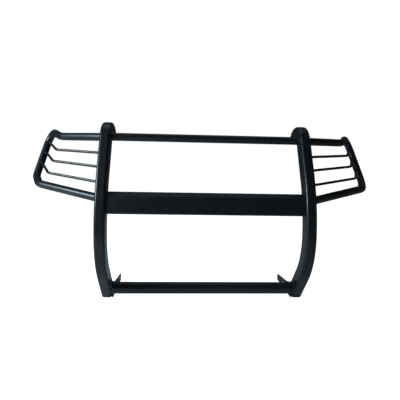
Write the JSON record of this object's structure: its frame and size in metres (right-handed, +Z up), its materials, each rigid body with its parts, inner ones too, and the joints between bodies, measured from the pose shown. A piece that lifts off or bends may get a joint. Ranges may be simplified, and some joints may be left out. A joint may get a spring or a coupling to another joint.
{
  "type": "front grille guard",
  "caption": "Front grille guard for a pickup: bowed uprights with hooked tops, cross tubes, a pressed centre bar and wrap-round lamp guards with thin rods.",
  "frame": {"origin": "on the ground plane of the feet, under the middle of the guard's outer box", "axes": "+X to the viewer's right when the guard is seen from the front, +Y to the rear (towards the vehicle), +Z up; left_ nodes are on -X"},
  "size_m": [1.7842, 0.5333, 0.858],
  "materials": {
    "black_powder_coat": "satin black powder coat",
    "black_plastic": "matte moulded plastic"
  },
  "bodies": {
    "root": {"left_upright": "black_powder_coat", "right_upright": "black_powder_coat", "left_upright_back_plate": "black_powder_coat", "right_upright_back_plate": "black_powder_coat", "left_hook_end_plate": "black_powder_coat", "right_hook_end_plate": "black_powder_coat", "left_foot_plug": "black_plastic", "right_foot_plug": "black_plastic", "top_cross_tube": "black_powder_coat", "centre_bar": "black_powder_coat", "bottom_cross_tube": "black_powder_coat", "left_wing_tube": "black_powder_coat", "right_wing_tube": "black_powder_coat", "left_wing_upper_rod": "black_powder_coat", "right_wing_upper_rod": "black_powder_coat", "left_wing_middle_rod": "black_powder_coat", "right_wing_middle_rod": "black_powder_coat", "left_wing_lower_rod": "black_powder_coat", "right_wing_lower_rod": "black_powder_coat", "left_mount_plate": "black_powder_coat", "right_mount_plate": "black_powder_coat"}
  },
  "joints": []
}
